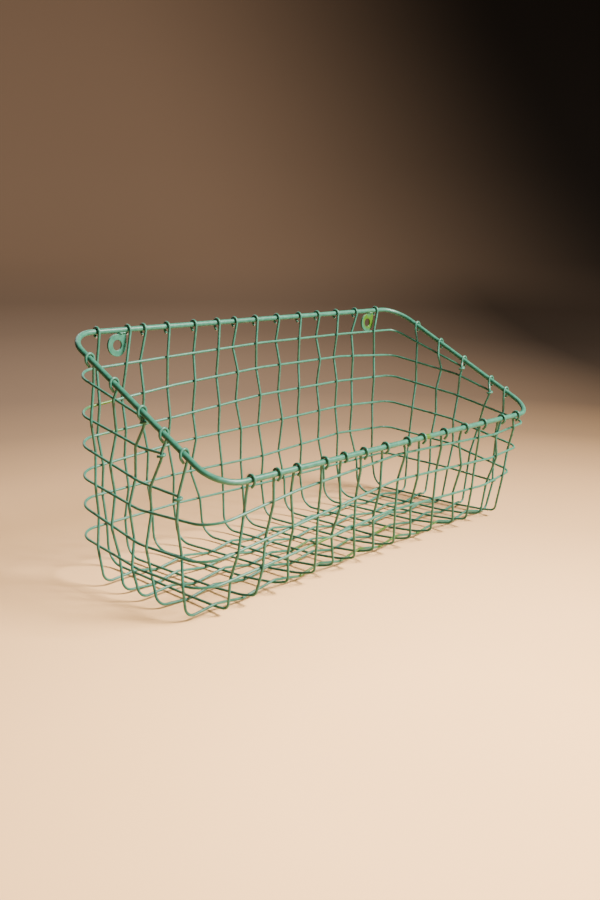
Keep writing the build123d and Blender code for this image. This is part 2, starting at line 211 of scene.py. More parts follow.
# Places of the front to back wires on the back rim, at the back and the front edge of the floor
# and on the front rim, as shares of half the rim's length
back_rim_shares = [-0.863, -0.717, -0.641, -0.521, -0.378, -0.247, -0.146,
                   -0.020, 0.117, 0.262, 0.390, 0.527, 0.669, 0.831]
floor_shares = [-0.858, -0.762, -0.630, -0.497, -0.359, -0.234, -0.105,
                0.026, 0.160, 0.289, 0.442, 0.569, 0.702, 0.850]
front_edge_shares = [-0.872, -0.740, -0.571, -0.427, -0.318, -0.188, -0.069,
                     0.067, 0.185, 0.336, 0.506, 0.614, 0.735, 0.864]
front_rim_shares = [-0.848, -0.724, -0.623, -0.477, -0.370, -0.254, -0.123,
                    0.018, 0.120, 0.274, 0.429, 0.571, 0.726, 0.850]

# How long each cross wire's hooks hang down below the rod, as shares of the tails' usual fall
back_tail_shares = [0.85, 0.70, 1.03, 1.10, 1.10, 1.25, 0.90,
                    1.00, 0.95, 1.05, 1.00, 0.90, 1.00, 0.95]
front_tail_shares = [1.00, 0.95, 0.90, 1.00, 0.72, 1.00, 1.00,
                     0.68, 0.87, 1.00, 0.95, 1.05, 0.90, 1.00]

# Olive patches of the coat: on the right eyelet, the front rod, the left end of two rows, the front
# and the floor. Each has its place as shares of half the rim's length, half its depth and its back
# height, and then its reach as a share of that height.
olive_patch_shares = [
    (0.78, 1.00, 0.95, 0.065),
    (0.14, -1.00, 0.55, 0.037),
    (-0.88, 0.96, 0.71, 0.112),
    (-0.82, 0.96, 0.58, 0.065),
    (-0.42, -0.85, 0.19, 0.103),
    (-0.39, -0.59, 0.04, 0.112),
    (-0.12, -0.57, 0.04, 0.112),
    (0.12, -0.61, 0.04, 0.112),
    (0.40, -0.65, 0.04, 0.112),
    (-0.28, -0.32, 0.04, 0.075),
    (-0.04, -0.32, 0.04, 0.075),
    (0.25, -0.31, 0.04, 0.075),
    (-0.17, -0.04, 0.04, 0.075),
]

# Places of the lengthwise wires from rear to front, as shares of half the rim's depth
left_rim_shares = [0.642, 0.297, -0.077, -0.356, -0.610]
left_floor_shares = [0.490, 0.210, -0.030, -0.270, -0.640]
right_floor_shares = [0.560, 0.250, 0.000, -0.290, -0.610]
right_rim_shares = [0.644, 0.291, -0.055, -0.437, -0.643]

# How far a wire stands aside, where it crosses each row from the top, from the straight line
# between its place on the rim and its place on the floor. The cross wires' shares are of half the
# rim's length, the lengthwise wires' of half its depth.
back_sway_shares = [
    [-0.010, -0.020, -0.020, -0.015, -0.010, -0.010],
    [-0.025, -0.030, -0.025, -0.015, -0.010, -0.010],
    [-0.025, -0.030, -0.025, -0.020, -0.015, -0.010],
    [-0.025, -0.015, -0.025, -0.025, -0.020, -0.010],
    [-0.010, -0.025, -0.025, -0.030, -0.050, -0.020],
    [-0.020, -0.015, -0.020, -0.010, -0.015, 0.010],
    [-0.020, -0.015, -0.015, -0.010, 0.000, -0.015],
    [-0.025, -0.010, -0.010, -0.010, -0.010, -0.005],
    [-0.015, -0.015, -0.010, -0.010, -0.020, -0.010],
    [-0.025, -0.010, -0.030, -0.020, -0.020, -0.010],
    [-0.015, -0.015, -0.020, -0.030, -0.020, -0.010],
    [-0.025, -0.025, -0.030, -0.020, -0.030, -0.015],
    [-0.030, -0.045, -0.030, -0.055, -0.045, -0.020],
    [-0.040, -0.010, -0.035, -0.020, -0.045, -0.020],
]
front_sway_shares = [
    [0.015, -0.010, -0.010],
    [0.015, 0.030, 0.020],
    [0.015, 0.030, 0.045],
    [0.005, 0.045, 0.040],
    [0.020, 0.025, 0.020],
    [0.000, 0.020, 0.005],
    [0.025, 0.010, 0.020],
    [0.010, 0.015, 0.000],
    [0.025, 0.010, 0.015],
    [0.005, 0.030, 0.010],
    [0.015, 0.035, 0.040],
    [0.000, 0.045, 0.025],
    [0.025, 0.045, 0.045],
    [0.015, 0.040, 0.005],
]
left_sway_shares = [
    [0.060, 0.050, 0.080, 0.030, 0.080, 0.040],
    [0.040, 0.080, 0.110, 0.125, 0.115, 0.085],
    [-0.015, 0.090, 0.145, 0.155, 0.145, 0.095],
    [0.000, 0.040, 0.150, 0.185, 0.165, 0.150],
    [0.000, 0.000, 0.075, 0.100, 0.100, 0.020],
]
right_sway_shares = [
    [-0.020, -0.065, -0.040, -0.050, 0.005, -0.020],
    [-0.025, -0.050, -0.040, -0.030, -0.025, -0.010],
    [-0.020, -0.015, 0.005, -0.015, -0.025, -0.035],
    [0.000, -0.040, -0.020, 0.025, 0.025, 0.040],
    [0.000, 0.000, -0.015, -0.005, 0.010, 0.005],
]

# Heights of the hoops as shares of the back rim's height. A row gives the heights at the middle
# of the left wall, the back left corner, the left, middle and right of the back, the back right
# corner and the middle of the right wall.
upper_hoop_left_end_share = 0.724
upper_hoop_back_shares = [0.850, 0.871, 0.890, 0.893, 0.888]
upper_hoop_right_end_share = 0.729
second_hoop_left_end_share = 0.612
second_hoop_shares = [0.614, 0.693, 0.743, 0.772, 0.776, 0.748, 0.687]
second_hoop_right_end_share = 0.626
spiral_left_end_share = 0.467
spiral_shares = [
    [0.480, 0.570, 0.600, 0.638, 0.646, 0.634, 0.580],
    [0.370, 0.436, 0.482, 0.495, 0.511, 0.490, 0.449],
    [0.234, 0.318, 0.337, 0.333, 0.366, 0.346, 0.318],
    [0.132, 0.183, 0.201, 0.194, 0.196, 0.196, 0.187],
]
spiral_right_end_share = 0.168

# Heights of the spiral's rows on the front as shares of the front rim's height: at the front right
# corner, the right and the middle of the front, where the wire steps down, and the front left corner
spiral_front_shares = [
    [0.895, 0.850, 0.897, 0.821, 0.710],
    [0.662, 0.624, 0.676, 0.542, 0.444],
    [0.430, 0.368, 0.417, 0.320, 0.256],
]

# Places of these heights, as shares of half the rim's length
back_left_place_share = -0.50
back_right_place_share = 0.55
front_right_place_share = 0.72
step_place_share = -0.58

# The rows of the hoops, numbered from the top
upper_row = 1
second_row = 2
first_spiral_row = 3
last_spiral_row = first_spiral_row + len(spiral_shares) - 1

# The lengthwise wire that each end of a hoop is wrapped round, by the row's number
left_wraps = {upper_row: 3, second_row: 4, first_spiral_row: 5}
right_wraps = {upper_row: 3, second_row: 4, last_spiral_row: 5}

# Sizes that follow
rod_radius = rod_diameter / 2
wire_radius = wire_diameter / 2
half_length = rim_length / 2
half_depth = rim_depth / 2
hook_radius = rod_radius + hook_gap + wire_radius
weave_offset = wire_diameter + weave_gap
wrap_pitch = wire_diameter + wrap_gap
wrap_step = FULL_TURN / wrap_kinks_per_turn
hoop_corner_radii = [back_left_corner_radius, back_right_corner_radius,
                     front_right_corner_radius, front_left_corner_radius]
wall_count = len(hoop_corner_radii)
floor_level = weave_offset + wire_radius
rim_slope = degrees(atan2(back_height - front_height, rim_depth))


def lerp(start, end, share):
    """The value that lies a share of the way from start to end."""
    return start + (end - start) * share


def rim_height(y):
    """Height of the rim rod's middle over a place between front and back."""
    return lerp(front_height, back_height, (y + half_depth) / rim_depth)


def fall_share(top, z):
    """How far down the wall a height lies, as a share of the way from the rim to the floor."""
    return (top - z) / (top - floor_level)


def left_wall(y, z):
    """X of the left wall's middle surface."""
    return hook_radius - half_length - left_spread * fall_share(rim_height(y), z)


def right_wall(y, z):
    """X of the right wall's middle surface."""
    return half_length - hook_radius + right_spread * fall_share(rim_height(y), z)


def back_wall(z):
    """Y of the back wall's middle surface."""
    return half_depth - hook_radius + back_spread * fall_share(back_height, z)


def front_wall(z):
    """Y of the front wall's middle surface."""
    return hook_radius - half_depth - front_spread * fall_share(front_height, z)


def back_left(share):
    """Sharp corner of a hoop at the back left, at a share of the back rim's height."""
    z = share * back_height
    return Vector((left_wall(half_depth, z), back_wall(z), z))


def back_right(share):
    """Sharp corner of a hoop at the back right."""
    z = share * back_height
    return Vector((right_wall(half_depth, z), back_wall(z), z))


def front_left(share):
    """Sharp corner of a hoop at the front left, at a share of the front rim's height."""
    z = share * front_height
    return Vector((left_wall(-half_depth, z), front_wall(z), z))


def front_right(share):
    """Sharp corner of a hoop at the front right."""
    z = share * front_height
    return Vector((right_wall(-half_depth, z), front_wall(z), z))


def on_left(y, share):
    """A place of a hoop on the left wall."""
    z = share * back_height
    return Vector((left_wall(y, z), y, z))


def on_right(y, share):
    """A place of a hoop on the right wall."""
    z = share * back_height
    return Vector((right_wall(y, z), y, z))


def on_back(x, share):
    """A place of a hoop on the back wall."""
    z = share * back_height
    return Vector((x, back_wall(z), z))


def on_front(x, share):
    """A place of a hoop on the front wall."""
    z = share * front_height
    return Vector((x, front_wall(z), z))


def across_back(corner, left, middle, right, far_corner):
    """A row across the back wall, from the heights of its corners and of three places between them."""
    return [back_left(corner), on_back(back_left_place_share * half_length, left), on_back(0, middle),
            on_back(back_right_place_share * half_length, right), back_right(far_corner)]


def hoops():
    """The three hoops. Each is a list of rows, one for each wall that it crosses, in the order left,
    back, right, front. A row is a list of points along the wire."""
    left_ends = {row: left_rim_shares[wire - 1] * half_depth for row, wire in left_wraps.items()}
    right_ends = {row: right_rim_shares[wire - 1] * half_depth for row, wire in right_wraps.items()}

    back = across_back(*upper_hoop_back_shares)
    left_end = on_left(left_ends[upper_row], upper_hoop_left_end_share)
    right_end = on_right(right_ends[upper_row], upper_hoop_right_end_share)
    upper = [[left_end, back[0]], back, [back[-1], right_end]]

    side, *back_shares, far_side = second_hoop_shares
    back = across_back(*back_shares)
    left_end = on_left(left_ends[second_row], second_hoop_left_end_share)
    right_end = on_right(right_ends[second_row], second_hoop_right_end_share)
    second = [[left_end, on_left(0, side), back[0]], back, [back[-1], on_right(0, far_side), right_end]]

    spiral = []
    left_end = on_left(left_ends[first_spiral_row], spiral_left_end_share)
    for row, (side, *back_shares, far_side) in enumerate(spiral_shares):
        back = across_back(*back_shares)
        spiral += [[left_end, on_left(0, side), back[0]], back]
        if row < len(spiral_front_shares):
            near_corner, right, middle, step, last_corner = spiral_front_shares[row]
            right_end = front_right(near_corner)
            left_end = front_left(last_corner)
            spiral.append([back[-1], on_right(0, far_side), right_end])
            spiral.append([right_end, on_front(front_right_place_share * half_length, right),
                           on_front(0, middle), on_front(step_place_share * half_length, step),
                           left_end])
    right_end = on_right(right_ends[last_spiral_row], spiral_right_end_share)
    spiral.append([back[-1], on_right(0, far_side), right_end])
    return upper, second, spiral


def round_path(kinks):
    """Points along a path with arcs in place of its kinks. kinks is a list of (place, bend radius)."""
    points = [kinks[0][0]]
    last = len(kinks) - 2
    for number in range(1, last + 1):
        before, _ = kinks[number - 1]
        corner, radius = kinks[number]
        after, _ = kinks[number + 1]
        points += arc_points(before, corner, after, radius, number == 1, number == last)
    points.append(kinks[-1][0])
    path = points[:1]
    for point in points[1:]:
        if (point - path[-1]).length > same_within:
            path.append(point)
    return path


def arc_points(before, corner, after, radius, first=False, last=False):
    """Points of the arc that rounds a kink. It takes up at most half of each run, but with first all
    of the run before the kink, and with last all of the run after it."""
    arriving = before - corner
    leaving = after - corner
    room = min(arriving.length / (1 if first else 2), leaving.length / (1 if last else 2))
    arriving.normalize()
    leaving.normalize()
    opening = arriving.angle(leaving)
    turn = pi - opening
    if turn < radians(least_turn):
        return [corner]
    radius = min(radius, room / tan(turn / 2))
    inwards = (arriving + leaving).normalized()
    along = (leaving - arriving).normalized()
    middle = corner + inwards * (radius / sin(opening / 2))
    steps = max(least_bend_steps, round(degrees(turn) / bend_step))
    points = []
    for step in range(steps + 1):
        angle = lerp(-turn / 2, turn / 2, step / steps)
        points.append(middle - inwards * (radius * cos(angle)) + along * (radius * sin(angle)))
    return points


def round_corners(hoop):
    """The rows of a hoop with arcs in place of their sharp corners. Both rows that meet have them."""
    rows = [list(row) for row in hoop]
    for number, (row, next_row) in enumerate(zip(hoop, hoop[1:])):
        radius = hoop_corner_radii[number % wall_count]
        arc = arc_points(row[-2], row[-1], next_row[1], radius, True, True)
        rows[number][-1:] = arc
        rows[number + 1][:1] = arc
    return rows


upper_hoop, second_hoop, spiral_hoop = hoops()
upper_rows = round_corners(upper_hoop)
second_rows = round_corners(second_hoop)
spiral_rows = round_corners(spiral_hoop)
left_rows = [upper_rows[0], second_rows[0]] + spiral_rows[0::wall_count]
back_rows = [upper_rows[1], second_rows[1]] + spiral_rows[1::wall_count]
right_rows = [upper_rows[2], second_rows[2]] + spiral_rows[2::wall_count]
front_rows = spiral_rows[3::wall_count]


def crossing(row, axis, place):
    """The point of a row at a place along its wall, and how many times its square distance a wire
    stands off there because the row bends round a corner. axis is 0 on a wall along X, 1 along Y."""
    runs = list(zip(row, row[1:]))
    start, end = min(runs, key=lambda run: max(min(run[0][axis], run[1][axis]) - place,
                                               place - max(run[0][axis], run[1][axis])))
    share = (place - start[axis]) / (end[axis] - start[axis])
    stand_off = hypot(end[0] - start[0], end[1] - start[1]) / abs(end[axis] - start[axis])
    return start.lerp(end, share), stand_off


def hook(rod_middle, outwards, stretch, tail_share=1.0):
    """Kinks of a hook round the rim, from below the inside of the rod over its top to the tail's end
    below it. outwards is the level direction out of the basket."""
    up = Vector((0, 0, stretch))
    step = hook_reach_angle / hook_kink_count
    reach = hook_radius / cos(radians(step / 2))
    kinks = [(rod_middle - outwards * hook_radius - up * rod_radius, weave_bend_radius)]
    for kink in range(hook_kink_count):
        angle = radians(step * (kink + 0.5))
        place = rod_middle - outwards * (reach * cos(angle)) + up * (reach * sin(angle))
        kinks.append((place, hook_radius))
    end = rod_middle + outwards * hook_tail_stand_off - up * (hook_tail_fall * tail_share)
    return kinks + [(end, hook_radius)]


def gripping(number, row_number, wall_side):
    """Whether a hoop's end is wrapped round a lengthwise wire at a row."""
    wraps = left_wraps if wall_side < 0 else right_wraps
    return wraps.get(row_number) == number


def outer_side(number, row_number, wall_side):
    """1 where a lengthwise wire passes a row on its outside and -1 on its inside. A wire that a hoop's
    end grips stays on its side of the next row. wall_side is -1 on the left wall, 1 on the right."""
    if gripping(number, row_number, wall_side):
        row_number += 1
    even = 1 if (number + row_number) % 2 == 0 else -1
    return even * wall_side


def side_sway(number, row_number, wall_side):
    """How far a lengthwise wire stands aside from its straight line where it crosses a row."""
    sway_shares = left_sway_shares if wall_side < 0 else right_sway_shares
    return sway_shares[number - 1][row_number - 1] * half_depth


def side_shares(wall_side):
    """Places of the lengthwise wires at the rim and at the floor of a side wall."""
    if wall_side < 0:
        return left_rim_shares, left_floor_shares
    return right_rim_shares, right_floor_shares


def side_crossings(number, wall_side):
    """Kinks of a lengthwise wire on a side wall from the top, where it passes the hoops' rows or where
    an end of a hoop grips it."""
    rows, wraps = (left_rows, left_wraps) if wall_side < 0 else (right_rows, right_wraps)
    rim_y, floor_y = [shares[number - 1] * half_depth for shares in side_shares(wall_side)]
    kinks = []
    for row_number, row in enumerate(rows, 1):
        if number > wraps.get(row_number, number):
            continue
        point, _ = crossing(row, 1, rim_y)
        place = lerp(rim_y, floor_y, fall_share(rim_height(rim_y), point.z))
        gripped = gripping(number, row_number, wall_side)
        if gripped:
            place = rim_y
        point, stand_off = crossing(row, 1, place + side_sway(number, row_number, wall_side))
        point.x += wall_side * outer_side(number, row_number, wall_side) * weave_offset * stand_off
        if gripped:
            above = Vector((0, 0, wire_radius + grip_margin))
            below = Vector((0, 0, wrap_turns * wrap_pitch + wire_radius + grip_margin))
            kinks += [(point + above, weave_bend_radius), (point - below, weave_bend_radius)]
        else:
            kinks.append((point, weave_bend_radius))
    return kinks


def floor_ends(number):
    """The corners of a lengthwise wire where it meets the left and the right wall."""
    left_y = left_floor_shares[number - 1] * half_depth
    right_y = right_floor_shares[number - 1] * half_depth
    return (Vector((left_wall(left_y, floor_level), left_y, floor_level)),
            Vector((right_wall(right_y, floor_level), right_y, floor_level)))


def floor_place(number, cross_number):
    """Where a lengthwise wire and a cross wire pass each other on the floor, midway between them."""
    left_corner, right_corner = floor_ends(number)
    slope = (right_corner.y - left_corner.y) / (right_corner.x - left_corner.x)
    back_x = floor_shares[cross_number - 1] * half_length
    edge_x = front_edge_shares[cross_number - 1] * half_length
    back_y = back_wall(floor_level)
    edge_y = front_wall(floor_level)
    skew = (edge_x - back_x) / (back_y - edge_y)
    x = (back_x + skew * (back_y - left_corner.y + slope * left_corner.x)) / (1 + skew * slope)
    place = Vector((x, left_corner.y + slope * (x - left_corner.x), floor_level))
    if number == len(left_floor_shares):
        place.z += next_to_edge_share * front_edge_rise * edge_rise_shares[cross_number - 1]
    return place


def cross_wire(number):
    """Kinks of a wire that hooks on the back rim, runs down, over the floor and up to the front rim."""
    index = number - 1
    back_x = back_rim_shares[index] * half_length
    floor_x = floor_shares[index] * half_length
    front_x = front_rim_shares[index] * half_length

    rod_middle = Vector((back_x, half_depth, back_height))
    kinks = hook(rod_middle, Vector((0, 1, 0)), 1, back_tail_shares[index])
    kinks.reverse()
    for row_number, row in enumerate(back_rows, 1):
        point, _ = crossing(row, 0, back_x)
        sway = back_sway_shares[index][row_number - 1] * half_length
        place = lerp(back_x, floor_x, fall_share(back_height, point.z)) + sway
        point, stand_off = crossing(row, 0, place)
        inwards = 1 if (number + row_number) % 2 else -1
        point.y -= inwards * weave_offset * stand_off
        kinks.append((point, weave_bend_radius))

    kinks.append((Vector((floor_x, back_wall(floor_level), floor_level)), back_bend_radius))
    for long_number in (len(left_floor_shares) - 1, len(left_floor_shares)):
        kinks.append((floor_place(long_number, number), floor_rise_radius))
    edge_level = floor_level + front_edge_rise * edge_rise_shares[index]
    edge_x = front_edge_shares[index] * half_length
    kinks.append((Vector((edge_x, front_wall(edge_level), edge_level)), front_bend_radius))
    for row_number, row in reversed(list(enumerate(front_rows))):
        point, _ = crossing(row, 0, front_x)
        sway = front_sway_shares[index][row_number] * half_length
        place = lerp(front_x, floor_x, fall_share(front_height, point.z)) + sway
        point, stand_off = crossing(row, 0, place)
        outwards = -1 if (number + row_number) % 2 else 1
        point.y -= outwards * weave_offset * stand_off
        kinks.append((point, weave_bend_radius))
    rod_middle = Vector((front_x, -half_depth, front_height))
    return kinks + hook(rod_middle, Vector((0, -1, 0)), 1, front_tail_shares[index])


def long_wire(number):
    """Kinks of a wire that hooks on the left rim, runs down, over the floor and up to the right rim."""
    index = number - 1
    left_y = left_rim_shares[index] * half_depth
    right_y = right_rim_shares[index] * half_depth
    stretch = 1 / cos(radians(rim_slope))

    kinks = hook(Vector((-half_length, left_y, rim_height(left_y))), Vector((-1, 0, 0)), stretch)
    kinks.reverse()
    kinks += side_crossings(number, -1)
    left_corner, right_corner = floor_ends(number)
    kinks.append((left_corner, left_bend_radius))
    for cross_number in range(1, len(floor_shares) + 1):
        point = floor_place(number, cross_number)
        above = 1 if (number + cross_number) % 2 == 0 else -1
        point.z += above * weave_offset
        kinks.append((point, weave_bend_radius))
    kinks.append((right_corner, right_bend_radius))
    kinks += reversed(side_crossings(number, 1))
    return kinks + hook(Vector((half_length, right_y, rim_height(right_y))), Vector((1, 0, 0)), stretch)


def wrapped_end(row_number, wall_side):
    """Kinks of a hoop's end to its tip, wound down round the lengthwise wire that it grips."""
    rows, wraps = (left_rows, left_wraps) if wall_side < 0 else (right_rows, right_wraps)
    number = wraps[row_number]
    rim_y = side_shares(wall_side)[0][number - 1] * half_depth
    point, _ = crossing(rows[row_number - 1], 1, rim_y + side_sway(number, row_number, wall_side))
    towards_wire = wall_side * outer_side(number, row_number, wall_side)
    grip = point + Vector((towards_wire * weave_offset, 0, 0))
    reach = weave_offset / cos(radians(wrap_step / 2))
    kinks = []
    for kink in range(round(wrap_turns * wrap_kinks_per_turn)):
        angle = radians(wrap_step * (kink + 0.5))
        fall = wrap_pitch * (kink + 0.5) / wrap_kinks_per_turn
        around = Vector((-towards_wire * reach * cos(angle), -reach * sin(angle), -fall))
        kinks.append((grip + around, weave_offset))
    return kinks


def hoop_wire(hoop, first_row_number, last_row_number):
    """Kinks of a hoop along its rows, with each end wrapped round a wire of a side wall."""
    kinks = wrapped_end(first_row_number, -1)[::-1]
    for row_number, row in enumerate(hoop):
        if row_number:
            kinks.append((row[0], hoop_corner_radii[(row_number - 1) % wall_count]))
        kinks += [(point, hoop_sway_radius) for point in row[1:-1]]
    return kinks + wrapped_end(last_row_number, 1)


def tube(name, points, radius, sides, closed=False, end_material=None):
    """A round mesh along a path. An open one has its ends cut off square, with a small bevel."""
    count = len(points)
    tangents = []
    for number, point in enumerate(points):
        before = points[number - 1] if closed or number else point
        after = points[(number + 1) % count] if closed or number + 1 < count else point
        tangents.append((after - before).normalized())
    side = tangents[0].orthogonal().normalized()
    sides_along = [side]
    for before, after in zip(tangents, tangents[1:]):
        side = before.rotation_difference(after) @ side
        sides_along.append((side - after * side.dot(after)).normalized())

    rings = []
    for point, tangent, side in zip(points, tangents, sides_along):
        rings.append((point, tangent, side, radius))
    if not closed:
        bevel = radius * end_bevel_share
        first, last = rings[0], rings[-1]
        rings[0] = (first[0] + first[1] * bevel, *first[1:])
        rings[-1] = (last[0] - last[1] * bevel, *last[1:])
        rings.insert(0, (*first[:-1], radius - bevel))
        rings.append((*last[:-1], radius - bevel))

    vertices = []
    for middle, tangent, side, ring_radius in rings:
        other_side = tangent.cross(side)
        for step in range(sides):
            angle = 2 * pi * step / sides
            vertices.append((middle + side * (ring_radius * cos(angle))
                             + other_side * (ring_radius * sin(angle))) * MM)
    faces = []
    ring_pairs = list(zip(range(len(rings)), range(1, len(rings))))
    if closed:
        ring_pairs.append((len(rings) - 1, 0))
    for first, second in ring_pairs:
        turn = 0
        if second == 0:
            turn = seam_turn(rings[-1], rings[0], sides)
        for step in range(sides):
            near, far = step, (step + 1) % sides
            faces.append((first * sides + near, first * sides + far,
                          second * sides + (far + turn) % sides,
                          second * sides + (near + turn) % sides))
    if not closed:
        faces.append(tuple(range(sides))[::-1])
        faces.append(tuple(range((len(rings) - 1) * sides, len(rings) * sides)))
    piece = mesh_piece(name, vertices, faces)
    if end_material:
        piece.data.materials.append(end_material)
        for face in piece.data.polygons[-2:]:
            face.material_index = 1
            face.use_smooth = False
    return piece


def seam_turn(last_ring, first_ring, sides):
    """By how many vertices the last ring of a closed tube is turned against the first one."""
    side = last_ring[2]
    _, tangent, first_side, _ = first_ring
    angle = atan2(side.dot(tangent.cross(first_side)), side.dot(first_side))
    return round(angle / (2 * pi) * sides) % sides


def mesh_piece(name, vertices, faces):
    """A smooth shaded object in the coat's material."""
    mesh = bpy.data.meshes.new(name)
    mesh.from_pydata(vertices, [], faces)
    mesh.validate()
    mesh.materials.append(coat)
    for face in mesh.polygons:
        face.use_smooth = True
    piece = bpy.data.objects.new(name, mesh)
    bpy.context.scene.collection.objects.link(piece)
    return piece


def stand_for(piece, node):
    """Put a finished piece in the place of its CAD node."""
    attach(piece, "root")
    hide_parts(node)


def mesh_wire(node, kinks, finish):
    """Draw one wire of the mesh."""
    piece = tube(node + "_formed", round_path(kinks), wire_radius, wire_sides, end_material=cut_end)
    piece.data.materials[0] = finish
    stand_for(piece, node)


def rim():
    """The thick rod, bent to a rounded rectangle that slopes down to the front."""
    corners = [(half_length, half_depth), (half_length, -half_depth), (-half_length, -half_depth),
               (-half_length, half_depth)]
    corners = [Vector((x, y, rim_height(y))) for x, y in corners]
    points = [Vector((0, half_depth, back_height))]
    for before, corner, after in zip(corners[-1:] + corners, corners, corners[1:] + corners):
        points += arc_points(before, corner, after, rim_corner_radius)
    stand_for(tube("rim_rod_formed", points, rod_radius, rod_sides, closed=True), "rim_rod")


def hanging_eyelet(node, middle_x):
    """A flat ring cut from sheet. A tab at its right rises to the underside of the back rod."""
    ring_z = back_height - eyelet_drop
    ring_radius = eyelet_diameter / 2
    tab_right = middle_x + ring_radius
    tab_left = tab_right - tab_width
    tab_top = back_height - rod_radius
    hole_radius = eyelet_hole_diameter / 2
    join_angle = degrees(acos((tab_left - middle_x) / ring_radius))
    outline = [(tab_left, tab_top), (tab_right, tab_top)]
    for step in range(ring_steps + 1):
        angle = radians(lerp(0, join_angle - FULL_TURN, step / ring_steps))
        outline.append((middle_x + ring_radius * cos(angle), ring_z + ring_radius * sin(angle)))
    hole = []
    for step in range(ring_steps):
        angle = 2 * pi * step / ring_steps
        hole.append((middle_x + hole_radius * cos(angle), ring_z + hole_radius * sin(angle)))

    curve = bpy.data.curves.new(node, "CURVE")
    curve.dimensions = "2D"
    curve.fill_mode = "BOTH"
    curve.extrude = (eyelet_thickness / 2 - edge_bevel) * MM
    curve.bevel_depth = edge_bevel * MM
    curve.bevel_resolution = edge_bevel_steps
    curve.offset = -edge_bevel * MM
    for line in (outline, hole):
        spline = curve.splines.new("POLY")
        spline.points.add(len(line) - 1)
        for point, (x, z) in zip(spline.points, line):
            point.co = (x * MM, z * MM, 0, 1)
        spline.use_cyclic_u = True
    cutter = bpy.data.objects.new(node + "_outline", curve)
    mesh = bpy.data.meshes.new_from_object(cutter)
    bpy.data.objects.remove(cutter)
    upright = Matrix.Rotation(radians(90), 4, "X")
    mesh.transform(Matrix.Translation((0, half_depth * MM, 0)) @ upright)
    mesh.materials.clear()
    mesh.materials.append(coat)
    plate = bpy.data.objects.new(node + "_formed", mesh)
    bpy.context.scene.collection.objects.link(plate)
    stand_for(plate, node)
    weld(node, (tab_left + tab_right) / 2)


def weld(node, middle_x):
    """The lumpy bead that joins a tab to the underside of the rod, on its front and its back."""
    bead_mesh = bmesh.new()
    for blob in range(weld_blobs):
        share = blob / (weld_blobs - 1) * 2 - 1
        place = Vector((middle_x + share * (tab_width / 2 - weld_reach / 2), half_depth,
                        back_height - rod_radius))
        place.z += weld_lift * noise.noise(place)
        made = bmesh.ops.create_icosphere(bead_mesh, subdivisions=weld_blob_fineness, radius=1)
        for vertex in made["verts"]:
            swell = 1 + weld_lumps_share * noise.noise(vertex.co + place)
            size = Vector((weld_reach / 2, weld_depth / 2, weld_height / 2)) * swell
            vertex.co = (place + vertex.co * size) * MM
    mesh = bpy.data.meshes.new(node + "_weld")
    bead_mesh.to_mesh(mesh)
    bead_mesh.free()
    mesh.materials.append(coat)
    for face in mesh.polygons:
        face.use_smooth = True
    bead = bpy.data.objects.new(node + "_weld", mesh)
    bpy.context.scene.collection.objects.link(bead)
    remesh = bead.modifiers.new("join", "REMESH")
    remesh.mode = "VOXEL"
    remesh.voxel_size = weld_voxel * MM
    remesh.use_smooth_shade = True
    soften = bead.modifiers.new("soften", "SMOOTH")
    soften.iterations = weld_soften_rounds
    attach(bead, "root")


def new_material(name):
    """An empty node material with its shader."""
    material = bpy.data.materials.new(name)
    material.use_nodes = True
    nodes = material.node_tree.nodes
    return material, nodes, material.node_tree.links, nodes["Principled BSDF"]


def noise_at(nodes, links, place, scale, detail=usual_detail):
    """A noise texture in the object's own metres."""
    texture = nodes.new("ShaderNodeTexNoise")
    texture.inputs["Scale"].default_value = scale
    texture.inputs["Detail"].default_value = detail
    texture.inputs["Roughness"].default_value = noise_roughness
    links.new(place, texture.inputs["Vector"])
    return texture.outputs["Fac"]


def ramp(nodes, links, value, stops):
    """A colour ramp over a value. stops is a list of (position, colour)."""
    node = nodes.new("ShaderNodeValToRGB")
    elements = node.color_ramp.elements
    for element, (position, colour) in zip(elements, (stops[0], stops[-1])):
        element.position = position
        element.color = (*colour, 1)
    for position, colour in stops[1:-1]:
        elements.new(position).color = (*colour, 1)
    links.new(value, node.inputs["Fac"])
    return node.outputs["Color"]


def two_tones(nodes, links, value, shares, first, second):
    """A blend from one colour to another between two shares of a value's range."""
    return ramp(nodes, links, value, [(shares[0], first), (shares[1], second)])


def combined(nodes, links, operation, first, second):
    """Two values put together by a math node."""
    node = nodes.new("ShaderNodeMath")
    node.operation = operation
    links.new(first, node.inputs[0])
    links.new(second, node.inputs[1])
    return node.outputs["Value"]


def measured(nodes, links, operation, place, other):
    """A place's distance from another, or its dot product with it, as the operation says."""
    node = nodes.new("ShaderNodeVectorMath")
    node.operation = operation
    node.inputs[1].default_value = other
    links.new(place, node.inputs[0])
    return node.outputs["Value"]


def eased(nodes, links, value, start, end):
    """How far a value has gone from start, at 0, to end, at 1, with a smooth beginning and end."""
    node = nodes.new("ShaderNodeMapRange")
    node.interpolation_type = "SMOOTHSTEP"
    node.inputs["From Min"].default_value = start
    node.inputs["From Max"].default_value = end
    links.new(value, node.inputs["Value"])
    return node.outputs["Result"]


def mix(nodes, links, amount, first, second):
    """A blend of two colours. second is a colour or an output."""
    node = nodes.new("ShaderNodeMix")
    node.data_type = "RGBA"
    links.new(amount, node.inputs["Factor"])
    links.new(first, node.inputs["A"])
    if isinstance(second, tuple):
        node.inputs["B"].default_value = (*second, 1)
    else:
        links.new(second, node.inputs["B"])
    return node.outputs["Result"]


